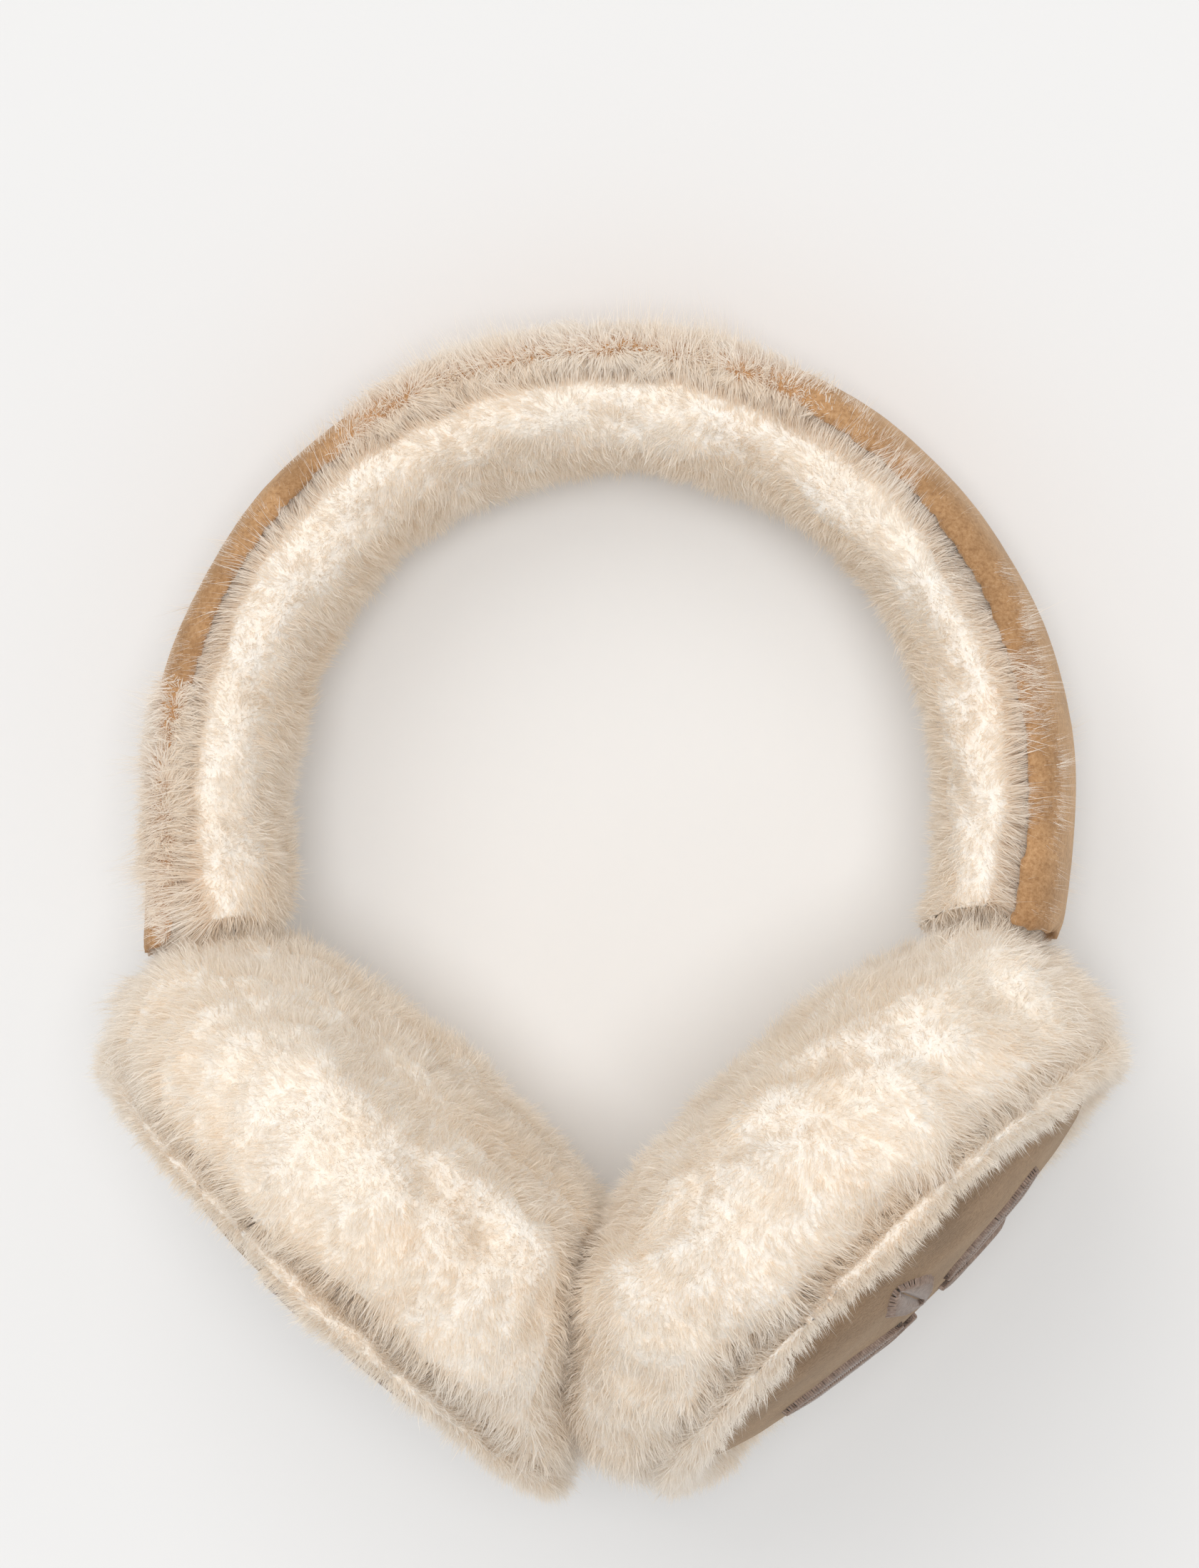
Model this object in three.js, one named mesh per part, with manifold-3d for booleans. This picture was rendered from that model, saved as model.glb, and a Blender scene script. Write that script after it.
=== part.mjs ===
// Sheepskin earmuffs at real size, in millimetres, +Z up, lying on their side as they are put down.
//
// A padded headband (a suede cover over wool) joins two thick round ear pads. Each pad is a deep wool
// cushion on the ear side, a wool disc behind it, and a domed suede disc on the outside. The band
// springs shut, so the two cushions lean on each other below the arch.
//
// Everything is drawn in the arch's own plane (x across, y towards the crown, z through the band's
// depth, centre of the arch at 0, 0, 0). Then the whole is tilted and set down on z = 0: it rests on
// the rims of both pads and on the edge of the band's crown, where the wool is pressed flat.

import * as THREE from "three";
import { mergeVertices } from "three/addons/utils/BufferGeometryUtils.js";
import Module from "manifold-3d";

const wasm = await Module();
wasm.setup();

// Driving dimensions
const ARCH_RADIUS = 65; // to the middle of the band
const ARM_ANGLE = 34; // how far each arm runs below the middle of the arch, degrees
const ARM_SPLAY = { left: 1.15, right: 0.35 }; // 0 follows the circle, 1 runs straight down
const BAND_STEPS = 60;

const PAD_TURN = 44; // between the pad's axis and the crown direction, degrees
const PAD_ACROSS = 34.6; // pad centre, from the arch's centre
const PAD_BELOW = 66;
const PAD_SEGMENTS = 52;

const CONTACT_X = 0.4; // the plane where the two cushions press together
const CONTACT_Y = -68;
const CONTACT_LEAN = 8.8; // degrees, its lower end lies to the left

const GAP = 0.3; // between neighbouring solids
const REST_TILT = 16.6; // the arch's plane against the floor, degrees, crown lower
const PRESSED = 1.5; // how deep the wool is flattened where it rests

const WOOL_COLOUR = 0xe3d5c0;
const SUEDE_COLOUR = 0xbe8d5e;

// Section of the band's wool, one half: out from the arch's middle line, and through its depth.
const BAND_WOOL_HALF = [
  { out: -11.4, depth: 0 },
  { out: -11.2, depth: 6 },
  { out: -9.9, depth: 12 },
  { out: -7.0, depth: 16.4 },
  { out: -3.0, depth: 18.7 },
  { out: 0.8, depth: 18.9 },
  { out: 3.2, depth: 17.6 },
  { out: 4.0, depth: 14.4 },
  { out: 7.2, depth: 13.6 },
  { out: 8.8, depth: 8.5 },
  { out: 9.1, depth: 0 },
];

// Section of the suede cover, one half: its outer face from the middle to the hem, then its inner face.
const BAND_SUEDE_OUTER = [
  { out: 11.5, depth: 0 },
  { out: 11.3, depth: 7 },
  { out: 10.4, depth: 12.5 },
  { out: 8.6, depth: 15.9 },
  { out: 6.4, depth: 17.0 },
  { out: 4.4, depth: 17.2 },
];
const BAND_SUEDE_INNER = [
  { out: 4.4, depth: 15.0 },
  { out: 7.4, depth: 14.2 },
  { out: 9.2, depth: 8.9 },
  { out: 9.5, depth: 0 },
];

// Turned profiles of the pad. Along is measured on the pad's axis, positive towards the ear.
const CUSHION_PROFILE = [
  { radius: 0, along: -13.3 },
  { radius: 45, along: -13.3 },
  { radius: 51, along: -12.8 },
  { radius: 55.4, along: -10.2 },
  { radius: 57.6, along: -5 },
  { radius: 57.4, along: 1.5 },
  { radius: 55, along: 8 },
  { radius: 50, along: 13.6 },
  { radius: 43, along: 17.6 },
  { radius: 33, along: 20.8 },
  { radius: 20, along: 22.9 },
  { radius: 8, along: 23.8 },
  { radius: 0, along: 24 },
];
const WOOL_DISC_PROFILE = [
  { radius: 0, along: -21.9 },
  { radius: 15, along: -21.3 },
  { radius: 30, along: -19.4 },
  { radius: 42.7, along: -16.2 },
  { radius: 44.2, along: -18.6 },
  { radius: 47.5, along: -20.2 },
  { radius: 51, along: -19.6 },
  { radius: 53, along: -17.4 },
  { radius: 52.4, along: -15 },
  { radius: 49.5, along: -13.7 },
  { radius: 0, along: -13.7 },
];
const SUEDE_DISC_PROFILE = [
  { radius: 0, along: -24.3 },
  { radius: 12, along: -24.0 },
  { radius: 24, along: -22.9 },
  { radius: 35, along: -20.9 },
  { radius: 42, along: -18.9 },
  { radius: 43.6, along: -17.9 },
  { radius: 42.9, along: -16.6 },
  { radius: 30, along: -19.9 },
  { radius: 15, along: -21.8 },
  { radius: 0, along: -22.3 },
];

const radians = THREE.MathUtils.degToRad;

// A closed three.js geometry, placed by a matrix, as a manifold-3d solid.
function solidOf(geometry, matrix = new THREE.Matrix4()) {
  const placed = new THREE.BufferGeometry();
  placed.setAttribute("position", geometry.getAttribute("position").clone());
  placed.setIndex(geometry.index);
  placed.applyMatrix4(matrix);
  const merged = mergeVertices(placed, 1e-3);
  const corners = merged.index.array;
  const kept = [];
  for (let i = 0; i < corners.length; i += 3) {
    const [a, b, c] = corners.subarray(i, i + 3);
    if (a !== b && b !== c && c !== a) kept.push(a, b, c); // a turned profile's faces shrink at its axis
  }
  return new wasm.Manifold(
    new wasm.Mesh({
      numProp: 3,
      vertProperties: merged.attributes.position.array,
      triVerts: new Uint32Array(kept),
    }),
  );
}

// A named mesh of a finished solid.
function meshOf(name, solid, material) {
  const { vertProperties, triVerts } = solid.getMesh();
  const geometry = new THREE.BufferGeometry();
  geometry.setAttribute("position", new THREE.BufferAttribute(new Float32Array(vertProperties), 3));
  geometry.setIndex(new THREE.BufferAttribute(new Uint32Array(triVerts), 1));
  geometry.computeVertexNormals();
  const mesh = new THREE.Mesh(geometry, material);
  mesh.name = name;
  return mesh;
}

// The band's middle line, from the end of the left arm over the crown to the end of the right arm.
class ArchCurve extends THREE.Curve {
  getPoint(t, target = new THREE.Vector3()) {
    const end = 90 + ARM_ANGLE;
    const fromCrown = radians(THREE.MathUtils.lerp(-end, end, t));
    const below = Math.max(0, Math.abs(fromCrown) - Math.PI / 2);
    const side = Math.sign(fromCrown) || 1;
    const splay = side < 0 ? ARM_SPLAY.left : ARM_SPLAY.right;
    const across = below > 0 ? side * (1 - (1 - splay) * (1 - Math.cos(below))) : Math.sin(fromCrown);
    return target.set(across, Math.cos(fromCrown), 0).multiplyScalar(ARCH_RADIUS);
  }
}

// A closed section from half of its points: the other half mirrors them through the band's depth.
function mirroredSection(half) {
  const inner = half.filter((point) => point.depth > 0).reverse();
  const points = [
    ...half.map(({ out, depth }) => new THREE.Vector2(depth, out)),
    ...inner.map(({ out, depth }) => new THREE.Vector2(-depth, out)),
  ];
  return new THREE.Shape(points);
}

function band(section) {
  const extruded = new THREE.ExtrudeGeometry(section, {
    steps: BAND_STEPS,
    extrudePath: new ArchCurve(),
  });
  return solidOf(extruded);
}

// The place of a pad: its axis lies in the arch's plane and points between the other pad and the crown.
function padMatrix(side) {
  const turn = radians(PAD_TURN);
  const axis = new THREE.Vector3(-side * Math.sin(turn), Math.cos(turn), 0);
  const depth = new THREE.Vector3(0, 0, 1);
  const edge = new THREE.Vector3().crossVectors(axis, depth);
  return new THREE.Matrix4()
    .makeBasis(edge, axis, depth)
    .setPosition(side * PAD_ACROSS, -PAD_BELOW, 0);
}

function turned(profile, side) {
  const points = profile.map(({ radius, along }) => new THREE.Vector2(radius, along));
  return solidOf(new THREE.LatheGeometry(points, PAD_SEGMENTS), padMatrix(side));
}

// The half space that belongs to the other pad, so that two pressed cushions share one flat contact.
function beyondContact(side) {
  const reach = 300;
  const block = new THREE.BoxGeometry(reach, reach, reach);
  const place = new THREE.Matrix4()
    .makeTranslation(CONTACT_X, CONTACT_Y, 0)
    .multiply(new THREE.Matrix4().makeRotationZ(radians(-CONTACT_LEAN)))
    .multiply(new THREE.Matrix4().makeTranslation(-side * (reach / 2 - GAP / 2), 0, 0));
  return solidOf(block, place);
}

// The same profile grown by the gap, which clears the band's ends from the cushion.
function grownCushion(side) {
  const middle = 6;
  const grown = CUSHION_PROFILE.map(({ radius, along }) => ({
    radius: radius > 0 ? radius + GAP * 1.4 : 0,
    along: along + Math.sign(along - middle) * GAP * 1.4,
  }));
  return turned(grown, side);
}

const suedeSection = new THREE.Shape([
  ...BAND_SUEDE_OUTER.map(({ out, depth }) => new THREE.Vector2(depth, out)),
  ...BAND_SUEDE_INNER.map(({ out, depth }) => new THREE.Vector2(depth, out)),
  ...BAND_SUEDE_INNER.slice(0, -1)
    .reverse()
    .map(({ out, depth }) => new THREE.Vector2(-depth, out)),
  ...BAND_SUEDE_OUTER.slice(1)
    .reverse()
    .map(({ out, depth }) => new THREE.Vector2(-depth, out)),
]);

const bothCushions = grownCushion(-1).add(grownCushion(1));
const solids = {
  headband_wool: band(mirroredSection(BAND_WOOL_HALF)).subtract(bothCushions),
  headband_suede: band(suedeSection).subtract(bothCushions),
};
// An arm's end that runs into a pad leaves only the part above the pad.
for (const name of Object.keys(solids)) {
  const pieces = solids[name].decompose();
  solids[name] = pieces.reduce((most, piece) => (piece.volume() > most.volume() ? piece : most));
}
for (const [label, side] of [
  ["left", -1],
  ["right", 1],
]) {
  const other = beyondContact(side);
  solids[`${label}_cushion`] = turned(CUSHION_PROFILE, side).subtract(other);
  solids[`${label}_wool_disc`] = turned(WOOL_DISC_PROFILE, side).subtract(other);
  solids[`${label}_suede_disc`] = turned(SUEDE_DISC_PROFILE, side).subtract(other);
}

// Set down: tilt the arch, press the wool into the floor, and put the origin under the middle.
const tilt = new THREE.Matrix4().makeRotationX(radians(-REST_TILT));
for (const name of Object.keys(solids)) solids[name] = solids[name].transform(tilt.elements);
const whole = wasm.Manifold.union(Object.values(solids)).boundingBox();
const shift = [
  -(whole.min[0] + whole.max[0]) / 2,
  -(whole.min[1] + whole.max[1]) / 2,
  -(whole.min[2] + PRESSED),
];
const floor = solidOf(new THREE.BoxGeometry(400, 400, 40).translate(0, 0, -20));

const materials = {
  wool: () => new THREE.MeshStandardMaterial({ color: WOOL_COLOUR, roughness: 0.95, metalness: 0 }),
  suede: () => new THREE.MeshStandardMaterial({ color: SUEDE_COLOUR, roughness: 0.85, metalness: 0 }),
};

const earmuffs = new THREE.Group();
for (const [name, solid] of Object.entries(solids)) {
  const made = solid.translate(shift).subtract(floor);
  const material = name.includes("suede") ? materials.suede() : materials.wool();
  earmuffs.add(meshOf(name, made, material));
}

export default earmuffs;
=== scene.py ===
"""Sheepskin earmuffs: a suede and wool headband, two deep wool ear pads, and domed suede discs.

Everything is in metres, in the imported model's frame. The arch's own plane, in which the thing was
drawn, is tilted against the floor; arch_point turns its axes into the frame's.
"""

import math

import bmesh
import bpy
import numpy as np
from mathutils import Matrix, Vector
from mathutils.bvhtree import BVHTree
from mathutils.kdtree import KDTree


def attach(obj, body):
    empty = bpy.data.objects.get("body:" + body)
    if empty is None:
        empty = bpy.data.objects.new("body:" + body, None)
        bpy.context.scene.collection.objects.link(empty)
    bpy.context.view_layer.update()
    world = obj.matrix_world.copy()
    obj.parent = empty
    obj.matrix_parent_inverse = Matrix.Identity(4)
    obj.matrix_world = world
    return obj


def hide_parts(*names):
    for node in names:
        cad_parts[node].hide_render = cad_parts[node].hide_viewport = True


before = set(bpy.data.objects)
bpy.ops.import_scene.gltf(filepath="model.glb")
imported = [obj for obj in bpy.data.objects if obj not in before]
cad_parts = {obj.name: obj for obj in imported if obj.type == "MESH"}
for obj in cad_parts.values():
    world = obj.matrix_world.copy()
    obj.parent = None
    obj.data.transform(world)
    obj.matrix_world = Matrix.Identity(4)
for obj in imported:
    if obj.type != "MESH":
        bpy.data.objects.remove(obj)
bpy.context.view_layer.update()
scene = bpy.context.scene

MM = 0.001
REST_TILT = math.radians(16.6)  # the arch's plane against the floor, crown lower
PAD_TURN = math.radians(44)  # between a pad's axis and the crown direction
ARCH_OUTER = 76.5 * MM  # from the arch's centre to the outside of the suede at the crown
BAND_MIDDLE = 65 * MM
SIDES = {"left": -1, "right": 1}

# The arch's axes in the frame: across, towards the crown, and through the band's depth.
ACROSS = np.array((1.0, 0.0, 0.0))
CROWN = np.array((0.0, math.cos(REST_TILT), -math.sin(REST_TILT)))
DEPTH = np.array((0.0, math.sin(REST_TILT), math.cos(REST_TILT)))


def cad_points(node):
    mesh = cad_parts[node].data
    points = np.empty(len(mesh.vertices) * 3)
    mesh.vertices.foreach_get("co", points)
    return points.reshape(-1, 3)


def arch_centre():
    """The middle of the arch, from the suede cover's crown and the middle of its depth."""
    points = cad_points("headband_suede")
    up = (points @ CROWN).max() - ARCH_OUTER
    crown = points[points @ CROWN > (points @ CROWN).max() - 0.3 * MM]
    deep = (crown @ DEPTH).mean()
    return up * CROWN + deep * DEPTH


CENTRE = arch_centre()


def arch_point(across, up, deep=0.0):
    return CENTRE + across * ACROSS + up * CROWN + deep * DEPTH


# ---------------------------------------------------------------- camera, floor and light

VIEW_SIDE = math.radians(8.0)  # the camera stands to the right of the arch's normal
VIEW_BELOW = math.radians(5.0)  # and a little towards the pads
VIEW_DISTANCE = 1.0
VIEW_HEIGHT = 0.2592  # what the long side of the picture spans at the arch
AIM = (-0.0019, 0.0016)


def make_camera():
    data = bpy.data.cameras.new("camera")
    data.sensor_width = 36
    data.lens = 36 * VIEW_DISTANCE / VIEW_HEIGHT
    data.clip_start = 0.01
    data.clip_end = 50
    camera = bpy.data.objects.new("camera", data)
    scene.collection.objects.link(camera)
    back = math.sin(VIEW_SIDE) * ACROSS - math.sin(VIEW_BELOW) * CROWN
    back = back + math.sqrt(1 - back @ back) * DEPTH
    right = np.cross(CROWN, back)
    right /= np.linalg.norm(right)
    above = np.cross(back, right)
    place = arch_point(*AIM) + VIEW_DISTANCE * back
    rotation = Matrix((right, above, back)).transposed()
    camera.matrix_world = Matrix.Translation(Vector(place)) @ rotation.to_4x4()
    scene.camera = camera


def make_surroundings():
    world = bpy.data.worlds.new("world")
    world.use_nodes = True
    background = world.node_tree.nodes["Background"]
    background.inputs["Color"].default_value = (1.0, 0.995, 0.985, 1)
    background.inputs["Strength"].default_value = 0.5
    scene.world = world
    scene.view_settings.view_transform = "Standard"
    scene.cycles.max_bounces = 14
    scene.cycles.diffuse_bounces = 8

    mesh = bpy.data.meshes.new("floor")
    reach = 30.0
    corners = [(-reach, -reach, 0), (reach, -reach, 0), (reach, reach, 0), (-reach, reach, 0)]
    mesh.from_pydata(corners, [], [(0, 1, 2, 3)])
    floor = bpy.data.objects.new("floor", mesh)
    scene.collection.objects.link(floor)
    material = bpy.data.materials.new("floor")
    material.use_nodes = True
    shader = material.node_tree.nodes["Principled BSDF"]
    shader.inputs["Base Color"].default_value = (0.8, 0.8, 0.8, 1)
    shader.inputs["Roughness"].default_value = 0.9
    shader.inputs["Specular IOR Level"].default_value = 0.1
    mesh.materials.append(material)

    for name, towards, strength, angle, colour in (
        ("key", (-0.2, 0.85, 1.0), 0.9, 40, (1.0, 0.985, 0.965)),
        ("front", (0.15, 0.20, 1.0), 1.35, 24, (1.0, 1.0, 1.0)),
    ):
        light = bpy.data.lights.new(name, "SUN")
        light.energy = strength
        light.angle = math.radians(angle)
        light.color = colour
        lamp = bpy.data.objects.new(name, light)
        lamp.rotation_euler = Vector(towards).to_track_quat("Z", "Y").to_euler()
        scene.collection.objects.link(lamp)


# ---------------------------------------------------------------- materials


class Nodes:
    """Short calls for building one material's node tree."""

    def __init__(self, name):
        self.material = bpy.data.materials.new(name)
        self.material.use_nodes = True
        self.tree = self.material.node_tree
        self.shader = self.tree.nodes["Principled BSDF"]

    def add(self, kind, **settings):
        node = self.tree.nodes.new(kind)
        for key, value in settings.items():
            setattr(node, key, value)
        return node

    def link(self, a, b):
        self.tree.links.new(a, b)

    def noise(self, vector, scale, detail=3.0, roughness=0.55):
        node = self.add("ShaderNodeTexNoise")
        node.inputs["Scale"].default_value = scale
        node.inputs["Detail"].default_value = detail
        node.inputs["Roughness"].default_value = roughness
        self.link(vector, node.inputs["Vector"])
        return node.outputs["Fac"]

    def ramp(self, value, stops):
        node = self.add("ShaderNodeValToRGB")
        ramp = node.color_ramp
        while len(ramp.elements) < len(stops):
            ramp.elements.new(0.5)
        for element, (place, colour) in zip(ramp.elements, stops):
            element.position = place
            element.color = (*colour, 1)
        self.link(value, node.inputs["Fac"])
        return node.outputs["Color"]

    def mix(self, factor, a, b, blend="MIX"):
        node = self.add("ShaderNodeMix", data_type="RGBA", blend_type=blend)
        for socket, value in ((node.inputs[0], factor), (node.inputs[6], a), (node.inputs[7], b)):
            if hasattr(value, "links"):
                self.link(value, socket)
            elif isinstance(value, tuple):
                socket.default_value = (*value, 1)
            else:
                socket.default_value = value
        return node.outputs[2]

    def let_light_through(self, colour, share):
        """Thin fibres also glow with the light that falls on their far side."""
        through = self.add("ShaderNodeBsdfTranslucent")
        self.link(colour, through.inputs["Color"])
        both = self.add("ShaderNodeMixShader")
        both.inputs[0].default_value = share
        self.link(self.shader.outputs[0], both.inputs[1])
        self.link(through.outputs[0], both.inputs[2])
        self.link(both.outputs[0], self.tree.nodes["Material Output"].inputs["Surface"])

    def bump(self, height, strength, distance):
        node = self.add("ShaderNodeBump")
        node.inputs["Strength"].default_value = strength
        node.inputs["Distance"].default_value = distance
        self.link(height, node.inputs["Height"])
        self.link(node.outputs["Normal"], self.shader.inputs["Normal"])


WOOL_ROOT = (0.94, 0.86, 0.765)
WOOL_MID = (0.975, 0.93, 0.865)
WOOL_TIP = (0.985, 0.957, 0.915)


def wool_strand_material():
    """Root to tip colour and each lock's own tint come with the strands as a colour attribute."""
    n = Nodes("wool_strands")
    tint = n.add("ShaderNodeVertexColor", layer_name="lock")
    parts = n.add("ShaderNodeSeparateColor")
    n.link(tint.outputs["Color"], parts.inputs["Color"])
    along = n.ramp(parts.outputs["Red"], [(0.0, WOOL_ROOT), (0.45, WOOL_MID), (1.0, WOOL_TIP)])
    place = n.add("ShaderNodeTexCoord").outputs["Object"]
    patches = n.ramp(
        n.noise(place, 38.0, 2.0), [(0.36, (0.985, 0.962, 0.93)), (0.60, (1.0, 1.0, 1.0))]
    )
    coat = n.mix(1.0, along, patches, "MULTIPLY")
    locks = n.ramp(parts.outputs["Green"], [(0.0, (0.975, 0.955, 0.93)), (1.0, (1.0, 1.0, 1.0))])
    shown = n.mix(1.0, coat, locks, "MULTIPLY")
    n.link(shown, n.shader.inputs["Base Color"])
    n.let_light_through(shown, 0.5)
    n.shader.inputs["Roughness"].default_value = 0.85
    n.shader.inputs["Specular IOR Level"].default_value = 0.25
    n.shader.inputs["Sheen Weight"].default_value = 0.25
    n.shader.inputs["Sheen Roughness"].default_value = 0.5
    return n.material


def wool_coat_material():
    """The dense underwool between the strands."""
    n = Nodes("underwool")
    place = n.add("ShaderNodeTexCoord").outputs["Object"]
    fine = n.noise(place, 900.0, 4.0, 0.7)
    broad = n.noise(place, 60.0, 3.0)
    colour = n.ramp(fine, [(0.32, WOOL_ROOT), (0.52, WOOL_MID), (0.7, WOOL_TIP)])
    patches = n.ramp(broad, [(0.38, (0.985, 0.962, 0.93)), (0.6, (1.0, 1.0, 1.0))])
    n.link(n.mix(1.0, colour, patches, "MULTIPLY"), n.shader.inputs["Base Color"])
    n.bump(fine, 0.7, 0.0012)
    n.shader.inputs["Roughness"].default_value = 0.95
    n.shader.inputs["Specular IOR Level"].default_value = 0.1
    n.shader.inputs["Sheen Weight"].default_value = 0.2
    return n.material


def suede_material(name, dark, mid, light):
    n = Nodes(name)
    place = n.add("ShaderNodeTexCoord").outputs["Object"]
    nap = n.noise(place, 1500.0, 5.0, 0.75)
    brushed = n.noise(place, 110.0, 4.0, 0.6)
    worn = n.noise(place, 26.0, 2.0)
    colour = n.ramp(nap, [(0.30, dark), (0.5, mid), (0.72, light)])
    strokes = n.ramp(brushed, [(0.34, (0.80, 0.77, 0.74)), (0.62, (1.06, 1.05, 1.03))])
    colour = n.mix(1.0, colour, strokes, "MULTIPLY")
    patches = n.ramp(worn, [(0.36, (0.88, 0.86, 0.84)), (0.64, (1.05, 1.04, 1.04))])
    n.link(n.mix(1.0, colour, patches, "MULTIPLY"), n.shader.inputs["Base Color"])
    n.bump(nap, 0.35, 0.0004)
    n.shader.inputs["Roughness"].default_value = 0.9
    n.shader.inputs["Specular IOR Level"].default_value = 0.15
    n.shader.inputs["Sheen Weight"].default_value = 0.35
    n.shader.inputs["Sheen Roughness"].default_value = 0.45
    n.shader.inputs["Sheen Tint"].default_value = (1.0, 0.82, 0.62, 1)
    return n.material


def thread_material():
    n = Nodes("thread")
    place = n.add("ShaderNodeTexCoord").outputs["Object"]
    twist = n.noise(place, 1400.0, 2.0)
    tones = n.ramp(twist, [(0.3, (0.20, 0.13, 0.095)), (0.55, (0.30, 0.205, 0.155)), (0.8, (0.42, 0.31, 0.245))])
    n.link(tones, n.shader.inputs["Base Color"])
    n.shader.inputs["Roughness"].default_value = 0.55
    n.shader.inputs["Sheen Weight"].default_value = 0.3
    return n.material


# ---------------------------------------------------------------- forms


def link_mesh(name, mesh, material):
    piece = bpy.data.objects.new(name, mesh)
    scene.collection.objects.link(piece)
    mesh.materials.clear()
    mesh.materials.append(material)
    return piece


def refined(node, voxel, smooth):
    """A CAD solid remeshed finely and smoothed, as new mesh data."""
    source = bpy.data.objects.new("source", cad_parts[node].data.copy())
    scene.collection.objects.link(source)
    remesh = source.modifiers.new("remesh", "REMESH")
    remesh.mode = "VOXEL"
    remesh.voxel_size = voxel
    relax = source.modifiers.new("relax", "SMOOTH")
    relax.factor = 0.5
    relax.iterations = smooth
    graph = bpy.context.evaluated_depsgraph_get()
    mesh = bpy.data.meshes.new_from_object(source.evaluated_get(graph))
    bpy.data.objects.remove(source)
    mesh.polygons.foreach_set("use_smooth", np.ones(len(mesh.polygons), dtype=bool))
    return mesh


def read_mesh(mesh):
    points = np.empty(len(mesh.vertices) * 3)
    mesh.vertices.foreach_get("co", points)
    normals = np.empty(len(mesh.vertices) * 3)
    mesh.vertex_normals.foreach_get("vector", normals)
    return points.reshape(-1, 3), normals.reshape(-1, 3)


def write_points(mesh, points):
    mesh.vertices.foreach_set("co", points.ravel())
    mesh.update()


class Waves:
    """A smooth random field: a sum of seeded sine waves of about one wavelength."""

    def __init__(self, seed, wavelength, count=14):
        rng = np.random.default_rng(seed)
        direction = rng.normal(size=(count, 3))
        direction /= np.linalg.norm(direction, axis=1)[:, None]
        self.waves = direction * (2 * math.pi / wavelength) * rng.uniform(0.6, 1.5, (count, 1))
        self.phase = rng.uniform(0, 2 * math.pi, count)
        self.scale = math.sqrt(2 / count)

    def __call__(self, points):
        return np.sin(points @ self.waves.T + self.phase).sum(axis=1) * self.scale


def smoothstep(low, high, value):
    t = np.clip((value - low) / (high - low), 0, 1)
    return t * t * (3 - 2 * t)


def unit(vectors):
    return vectors / np.maximum(np.linalg.norm(vectors, axis=1), 1e-9)[:, None]


def pad_axes(side):
    """A pad's axis towards the ear, its edge direction down and inwards, and the depth."""
    axis = -side * math.sin(PAD_TURN) * ACROSS + math.cos(PAD_TURN) * CROWN
    edge = -side * math.cos(PAD_TURN) * ACROSS - math.sin(PAD_TURN) * CROWN
    return axis, edge, DEPTH


def disc_crown(label):
    """The outermost point of a suede disc, which lies on its pad's axis."""
    axis, _, _ = pad_axes(SIDES[label])
    points = cad_points(f"{label}_suede_disc")
    outer = points[np.argmin(points @ axis)]
    return outer


# ---------------------------------------------------------------- wool strands


def surface_samples(mesh, count, rng, keep):
    """Random points, normals on a mesh, spread by area over the faces that keep says."""
    mesh.calc_loop_triangles()
    triangles = np.empty(len(mesh.loop_triangles) * 3, dtype=np.int64)
    mesh.loop_triangles.foreach_get("vertices", triangles)
    triangles = triangles.reshape(-1, 3)
    points, normals = read_mesh(mesh)
    corners = points[triangles]
    area = 0.5 * np.linalg.norm(
        np.cross(corners[:, 1] - corners[:, 0], corners[:, 2] - corners[:, 0]), axis=1
    )
    weight = area * keep(corners.mean(axis=1), unit(normals[triangles].mean(axis=1)))
    chosen = rng.choice(len(triangles), size=count, p=weight / weight.sum())
    a, b = rng.random(count), rng.random(count)
    flip = a + b > 1
    a[flip], b[flip] = 1 - a[flip], 1 - b[flip]
    share = np.stack([1 - a - b, a, b], axis=1)[:, :, None]
    return (corners[chosen] * share).sum(axis=1), unit((normals[triangles][chosen] * share).sum(axis=1))


def combed(points, normals, comb):
    """The part of the combing direction that lies along the surface."""
    flow = comb(points)
    flow = flow - (flow * normals).sum(axis=1)[:, None] * normals
    return flow


def ribbon_mesh(name, rows, faces, row_along, locks, soft):
    """One mesh of many like ribbons: rows is strands x corners x 3, faces index one strand's corners."""
    count, corners = rows.shape[:2]
    rows[:, :, 2] = np.maximum(rows[:, :, 2], FLOOR_GAP)
    all_faces = (np.arange(count)[:, None, None] * corners + faces).reshape(-1, 3)
    mesh = bpy.data.meshes.new(name)
    mesh.vertices.add(count * corners)
    mesh.vertices.foreach_set("co", rows.ravel())
    mesh.loops.add(len(all_faces) * 3)
    mesh.loops.foreach_set("vertex_index", all_faces.ravel().astype(np.int32))
    mesh.polygons.add(len(all_faces))
    mesh.polygons.foreach_set("loop_start", np.arange(0, len(all_faces) * 3, 3, dtype=np.int32))
    mesh.update(calc_edges=True)
    mesh.polygons.foreach_set("use_smooth", np.ones(len(all_faces), dtype=bool))
    side = math.ceil(math.sqrt(count))
    place = np.arange(count)
    uv = np.empty((count, corners, 2))
    uv[:, :, 0] = ((place % side)[:, None] + 0.15 + 0.7 * ACROSS_RIBBON[corners]) / side
    uv[:, :, 1] = ((place // side)[:, None] + 0.1 + 0.8 * row_along) / side
    layer = mesh.uv_layers.new(name="OFBake")
    layer.data.foreach_set("uv", uv.reshape(-1, 2)[all_faces.ravel()].ravel())
    colour = np.ones((count, corners, 4), dtype=np.float32)
    colour[:, :, 0] = row_along
    colour[:, :, 1] = locks[:, None]
    layer = mesh.color_attributes.new("lock", "FLOAT_COLOR", "POINT")
    layer.data.foreach_set("color", colour.ravel())
    shading = np.repeat(soft[:, None, :], corners, axis=1).reshape(-1, 3)
    mesh.normals_split_custom_set_from_vertices(shading.astype(np.float32))
    return mesh


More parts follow.
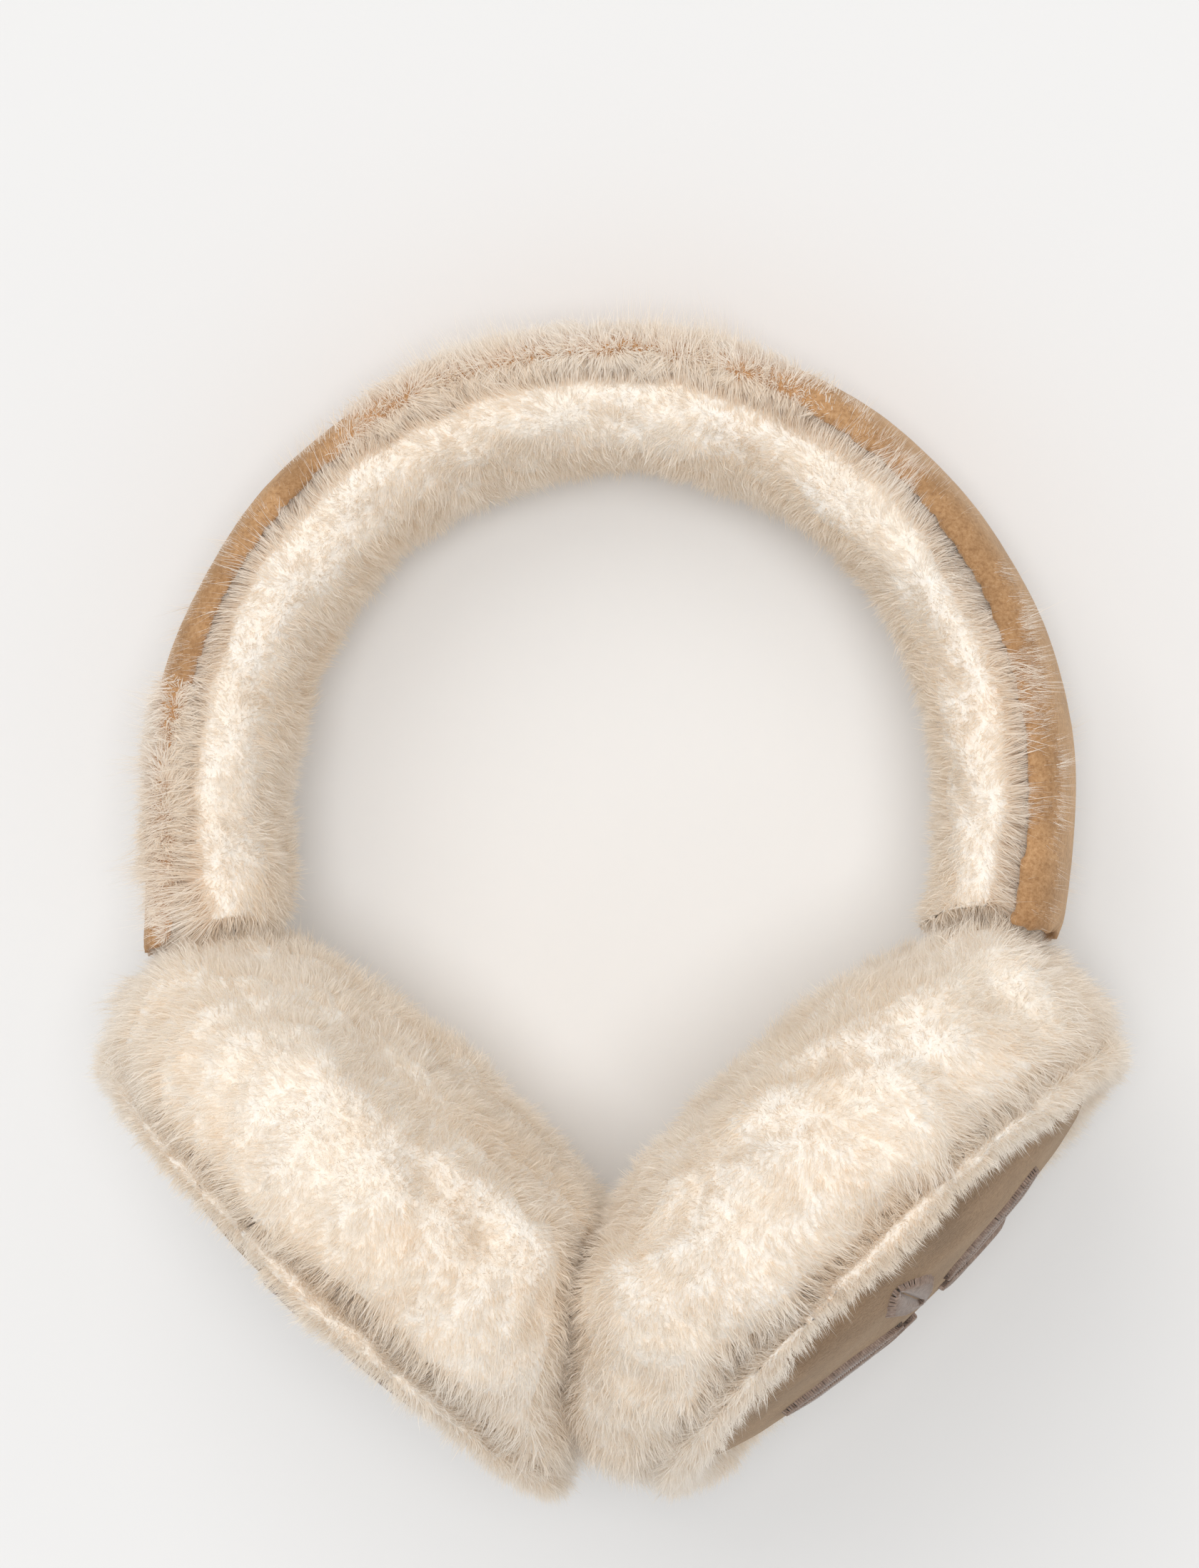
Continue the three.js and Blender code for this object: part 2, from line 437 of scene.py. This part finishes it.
FLOOR_GAP = 0.03 * MM
ACROSS_RIBBON = {3: np.array([0, 1, 0.5]), 5: np.array([0, 1, 0, 1, 0.5])}
BENT_FACES = np.array([[0, 1, 3], [0, 3, 2], [2, 3, 4]])
STRAIGHT_FACES = np.array([[0, 1, 2]])


def make_strands(name, mesh, comb, keep, seed, length, fine=95000, locks=28000, width=0.15 * MM, lock_area=26,
                 stand=1.0):
    """Wool as tapered ribbons gathered into locks: fine straight ones and longer bent ones."""
    rng = np.random.default_rng(seed)
    count = fine + locks
    roots, normals = surface_samples(mesh, count, rng, keep)
    flow = combed(roots, normals, comb)

    # Each strand leans towards the tip of the nearest lock's leader.
    lock_count = max(8, int(count / lock_area))
    leaders = rng.choice(count, lock_count, replace=False)
    tree = KDTree(lock_count)
    for i, leader in enumerate(leaders):
        tree.insert(roots[leader], i)
    tree.balance()
    lock = np.array([tree.find(p)[1] for p in roots])
    lock_tint = rng.random(lock_count)[lock]
    lock_turn = rng.normal(0, 0.2, (lock_count, 3))[lock]
    lock_length = rng.uniform(0.85, 1.18, lock_count)[lock]
    lean = flow + lock_turn
    lean = lean - (lean * normals).sum(axis=1)[:, None] * normals

    reach = length(roots) * lock_length * rng.uniform(0.7, 1.1, count)
    gather = roots[leaders][lock] - roots
    gather = gather - (gather * normals).sum(axis=1)[:, None] * normals
    stray = rng.normal(0, 0.13, (count, 3))
    rise = normals * (reach * 0.72 * stand)[:, None]
    tip = roots + rise + (lean * 0.62 + stray) * reach[:, None] + gather * 0.35
    middle = roots + rise * 0.62 + (lean * 0.2 + stray * 0.3) * reach[:, None] + gather * 0.22

    # Ribbons lie across their own direction, mostly flat on the coat, and their faces look out.
    along = unit(tip - roots)
    across = unit(np.cross(along, normals) + rng.normal(0, 0.9, (count, 3)))
    across = unit(across - (across * along).sum(axis=1)[:, None] * along)
    inward = (np.cross(across, along) * normals).sum(axis=1) < 0
    across[inward] *= -1
    half = across * (width * 0.5 * rng.uniform(0.7, 1.3, count))[:, None]
    base = roots - normals * 0.4 * MM
    soft = unit(np.cross(across, along) + normals * 0.35)
    tint = lock_tint * 0.6 + rng.random(count) * 0.4

    bent = np.arange(count) < locks
    long_rows = np.stack(
        [base - half, base + half, middle - half * 0.85, middle + half * 0.85, tip], axis=1
    )[bent]
    short_rows = np.stack([base - half, base + half, tip], axis=1)[~bent]
    long_mesh = ribbon_mesh(name, long_rows, BENT_FACES, np.array([0, 0, 0.55, 0.55, 1]), tint[bent], soft[bent])
    fine_mesh = ribbon_mesh(f"{name}_fine", short_rows, STRAIGHT_FACES, np.array([0, 0, 1]), tint[~bent], soft[~bent])
    for label, made in ((name, long_mesh), (f"{name}_fine", fine_mesh)):
        piece = link_mesh(label, made, WOOL)
        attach(piece, "root")


# ---------------------------------------------------------------- the object

WOOL = wool_strand_material()
UNDERWOOL = wool_coat_material()
BAND_SUEDE = suede_material("band_suede", (0.31, 0.165, 0.075), (0.47, 0.275, 0.135), (0.60, 0.385, 0.215))
# The discs' suede has the suede's own brown, with painted shade on top: it is darker than the band's suede to stand
# in for the shade that falls on the discs.
SHADED_DISC_SUEDE = suede_material("disc_suede_painted_shade", (0.15, 0.085, 0.045), (0.235, 0.145, 0.08), (0.32, 0.21, 0.125))
THREAD = thread_material()


def make_coat(name, node, sink, lumps, seed, voxel=2.2 * MM, smooth=5, bulge=None):
    """The underwool of a CAD wool solid: sunk below its outer form and lumpy."""
    mesh = refined(node, voxel, smooth)
    points, normals = read_mesh(mesh)
    broad, fine = Waves(seed, 26 * MM), Waves(seed + 1, 10 * MM)
    swell = lumps * (0.65 * broad(points) + 0.45 * fine(points)) - sink
    resting = smoothstep(0.5 * MM, 9 * MM, points[:, 2])
    moved = points + normals * (swell * (0.25 + 0.75 * resting))[:, None]
    if bulge is not None:
        moved = moved + bulge(points)
    moved[:, 2] = np.maximum(moved[:, 2], 0.4 * MM)
    write_points(mesh, moved)
    piece = link_mesh(name, mesh, UNDERWOOL)
    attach(piece, "root")
    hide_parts(node)
    return piece


def lifted(points):
    """How much a strand may stand up: short where the coat rests on the floor."""
    return smoothstep(0.0, 8 * MM, points[:, 2])


def make_cushion(label):
    side = SIDES[label]
    axis, edge, depth = pad_axes(side)
    crown = disc_crown(label)
    middle = crown + axis * 30 * MM
    turn, swirl = Waves(11 + side, 30 * MM), Waves(15 + side, 16 * MM)

    def comb(points):
        radial = points - middle
        radial = unit(radial - (radial @ axis)[:, None] * axis)
        flow = radial * 0.3 - axis * 0.55 - CROWN * 0.35
        return flow + turn(points)[:, None] * ACROSS * 0.25 + swirl(points)[:, None] * edge * 0.28

    def keep(points, normals):
        return np.where((points - crown) @ axis > 8.5 * MM, 1.0, 0.0)

    def length(points):
        back = 1 - smoothstep(12 * MM, 22 * MM, (points - crown) @ axis)
        return (2.4 + 1.7 * lifted(points) + 1.8 * back) * MM

    def overhang(points):
        """The pile swells back over the wool disc's rim, most at the end where the band joins."""
        local = points - crown
        radial = local - (local @ axis)[:, None] * axis
        rim = smoothstep(38 * MM, 50 * MM, np.linalg.norm(radial, axis=1))
        back = 1 - smoothstep(13 * MM, 30 * MM, local @ axis)
        upper = 1 - smoothstep(-15 * MM, 25 * MM, local @ edge)
        return -(rim * back * (1.5 + 1.6 * upper) * MM)[:, None] * axis

    coat = make_coat(
        f"{label}_cushion_coat", f"{label}_cushion", 2.4 * MM, 1.1 * MM, 31 + side, bulge=overhang
    )
    make_strands(f"{label}_cushion_wool", coat.data, comb, keep, 101 + side, length)


def make_wool_disc(label):
    side = SIDES[label]
    axis, edge, depth = pad_axes(side)
    crown = disc_crown(label)
    turn = Waves(61 + side, 20 * MM)

    def comb(points):
        radial = points - crown
        radial = unit(radial - (radial @ axis)[:, None] * axis)
        return radial * 0.75 - axis * 0.35 - CROWN * 0.25 + turn(points)[:, None] * edge * 0.3

    def keep(points, normals):
        radial = points - crown
        radial = radial - (radial @ axis)[:, None] * axis
        return np.where(np.linalg.norm(radial, axis=1) > 43.8 * MM, 1.0, 0.0)

    def length(points):
        return (1.6 + 2.0 * lifted(points)) * MM

    coat = make_coat(f"{label}_disc_coat", f"{label}_wool_disc", 1.8 * MM, 0.5 * MM, 51 + side, 2.2 * MM, 3)
    make_strands(
        f"{label}_disc_wool", coat.data, comb, keep, 131 + side, length, fine=40000, locks=9000
    )


def arch_polar(points):
    """Radius from the arch's centre, angle from the right-hand side towards the crown, and depth."""
    local = points - CENTRE
    across, up = local @ ACROSS, local @ CROWN
    return np.hypot(across, up), np.degrees(np.arctan2(up, across)), local @ DEPTH


def brushed_over(angle):
    """Where the wool hides the suede: all across the crown, and down the left arm."""
    angle = np.where(angle < -90, angle + 360, angle)
    crown = smoothstep(56, 72, angle) * (1 - smoothstep(112, 130, angle))
    return np.maximum(crown, smoothstep(164, 171, angle))


def arch_outward(points):
    local = points - CENTRE
    return unit(np.outer(local @ ACROSS, ACROSS) + np.outer(local @ CROWN, CROWN))


def make_band_wool():
    turn, swirl = Waves(3, 26 * MM), Waves(5, 15 * MM)

    def comb(points):
        out = arch_outward(points)
        around = np.cross(out, DEPTH)
        flow = out * 0.4 - CROWN * 0.2
        flow = flow + turn(points)[:, None] * around * 0.4 + swirl(points)[:, None] * out * 0.3
        return flow + (hem_zone(points) * 1.1)[:, None] * out

    def hem_zone(points):
        radius, _, _ = arch_polar(points)
        return smoothstep(BAND_MIDDLE - 0.5 * MM, BAND_MIDDLE + 2.5 * MM, radius)

    def keep(points, normals):
        radius, _, deep = arch_polar(points)
        under = (radius > BAND_MIDDLE + 5.0 * MM) | ((radius > BAND_MIDDLE + 2.5 * MM) & (np.abs(deep) < 12 * MM))
        return np.where(under, 0.0, 1.0 + 2.0 * hem_zone(points))

    def length(points):
        _, angle, _ = arch_polar(points)
        return (2.2 + 1.6 * lifted(points) + hem_zone(points) * (3.0 + 3.2 * brushed_over(angle))) * MM

    coat = make_coat("headband_coat", "headband_wool", 2.0 * MM, 0.7 * MM, 71)
    make_strands("headband_strands", coat.data, comb, keep, 171, length)


def make_overlap(cover):
    """Wool brushed over the suede's edges: across the crown and down the left arm."""
    turn = Waves(25, 12 * MM)

    def comb(points):
        out = arch_outward(points)
        radius, _, _ = arch_polar(points)
        outwards = smoothstep(BAND_MIDDLE + 5 * MM, BAND_MIDDLE + 9 * MM, radius) * 1.3 - 0.8
        return out * outwards[:, None] + turn(points)[:, None] * np.cross(out, DEPTH) * 0.4

    def keep(points, normals):
        radius, angle, deep = arch_polar(points)
        facing = np.abs(normals @ DEPTH)
        edge = np.where(radius > BAND_MIDDLE + 2.5 * MM, 1.0, 0.0)
        outer = 1 - smoothstep(BAND_MIDDLE + 10.6 * MM, BAND_MIDDLE + 11.4 * MM, radius)
        rim = 1 + 2.5 * (1 - smoothstep(BAND_MIDDLE + 5 * MM, BAND_MIDDLE + 8 * MM, radius))
        return edge * brushed_over(angle) * outer * rim * (facing > 0.3)

    def length(points):
        return (3.0 + 1.6 * lifted(points)) * MM

    make_strands(
        "headband_overlap", cover.data, comb, keep, 191, length, fine=60000, locks=24000,
        width=0.2 * MM, stand=0.6
    )


def make_suede(name, node, voxel, smooth, material, dents):
    mesh = refined(node, voxel, smooth)
    points, normals = read_mesh(mesh)
    wave = Waves(91, 30 * MM)
    moved = points + normals * (wave(points) * dents)[:, None]
    moved[:, 2] = np.maximum(moved[:, 2], 0.02 * MM)
    write_points(mesh, moved)
    piece = link_mesh(name, mesh, material)
    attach(piece, "root")
    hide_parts(node)
    return piece


# One leaf of the stitched ring: its middle line in ring radius and turn, and its half width.
LEAVES = 5
LEAF_INNER = 5 * MM
LEAF_OUTER = 29 * MM
LEAF_HALF = 4.8 * MM
STITCH_STEP = 0.42 * MM


def make_stitches(label, cover):
    """Satin stitch: short raised threads side by side across each leaf."""
    side = SIDES[label]
    axis, edge, depth = pad_axes(side)
    crown = disc_crown(label)
    tree = BVHTree.FromObject(cover, bpy.context.evaluated_depsgraph_get())
    rng = np.random.default_rng(211 + side)

    def on_cover(a, b, lift):
        start = Vector(crown + edge * a + depth * b - axis * 10 * MM)
        hit, normal, _, _ = tree.ray_cast(start, Vector(axis))
        return np.array(hit) + np.array(normal) * lift

    vertices, faces = [], []

    def thread(ends, radius, rise):
        """A four-sided thread from one point to the other, arched over the cover between them."""
        stops = (0.0, 0.25, 0.75, 1.0)
        heights = (-0.15 * MM, rise, rise, -0.15 * MM)
        first = len(vertices)
        (a0, b0), (a1, b1) = ends
        run = np.array([a1 - a0, b1 - b0])
        turn = np.array([-run[1], run[0]]) / max(np.linalg.norm(run), 1e-9)
        for t, height in zip(stops, heights):
            a, b = a0 + run[0] * t, b0 + run[1] * t
            centre = on_cover(a, b, height)
            sideways = edge * turn[0] + depth * turn[1]
            vertices.extend(
                [
                    centre + sideways * radius,
                    centre - axis * radius,
                    centre - sideways * radius,
                    centre + axis * radius,
                ]
            )
        for ring in range(len(stops) - 1):
            for k in range(4):
                low = first + ring * 4
                faces.append((low + k, low + (k + 1) % 4, low + 4 + (k + 1) % 4, low + 4 + k))
        faces.append(tuple(first + k for k in (3, 2, 1, 0)))
        last = first + 4 * (len(stops) - 1)
        faces.append(tuple(last + k for k in (0, 1, 2, 3)))

    span = LEAF_OUTER - LEAF_INNER
    for leaf in range(LEAVES):
        angle = 2 * math.pi * (leaf + 0.25) / LEAVES
        out = np.array([math.cos(angle), math.sin(angle)])
        across = np.array([-out[1], out[0]])
        for step in range(int(span / STITCH_STEP)):
            t = (step + 0.5) * STITCH_STEP / span
            radius = LEAF_INNER + span * t
            half = LEAF_HALF * math.sin(math.pi * t) ** 0.7
            slant = 1.6 * MM
            spine = out * radius
            for sign in (-1, 1):
                jitter = rng.normal(0, 0.12 * MM)
                tip = spine + across * sign * (half + jitter) + out * slant * 0.8
                base = spine + across * sign * 0.15 * MM
                thread((base, tip), 0.24 * MM, 0.75 * MM)

    mesh = bpy.data.meshes.new(f"{label}_stitches")
    mesh.from_pydata([tuple(v) for v in vertices], [], faces)
    mesh.polygons.foreach_set("use_smooth", np.ones(len(mesh.polygons), dtype=bool))
    mesh.update()
    bm = bmesh.new()
    bm.from_mesh(mesh)
    bmesh.ops.recalc_face_normals(bm, faces=bm.faces)
    bm.to_mesh(mesh)
    bm.free()
    piece = link_mesh(f"{label}_stitches", mesh, THREAD)
    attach(piece, "root")
    return piece


make_camera()
make_surroundings()
make_band_wool()
make_overlap(make_suede("headband_cover", "headband_suede", 1.4 * MM, 4, BAND_SUEDE, 0.12 * MM))
for label in SIDES:
    make_cushion(label)
    make_wool_disc(label)
    # The covers take the disc suede, whose darker brown is partly painted shade.
    cover = make_suede(f"{label}_cover", f"{label}_suede_disc", 1.3 * MM, 4, SHADED_DISC_SUEDE, 0.15 * MM)
    make_stitches(label, cover)
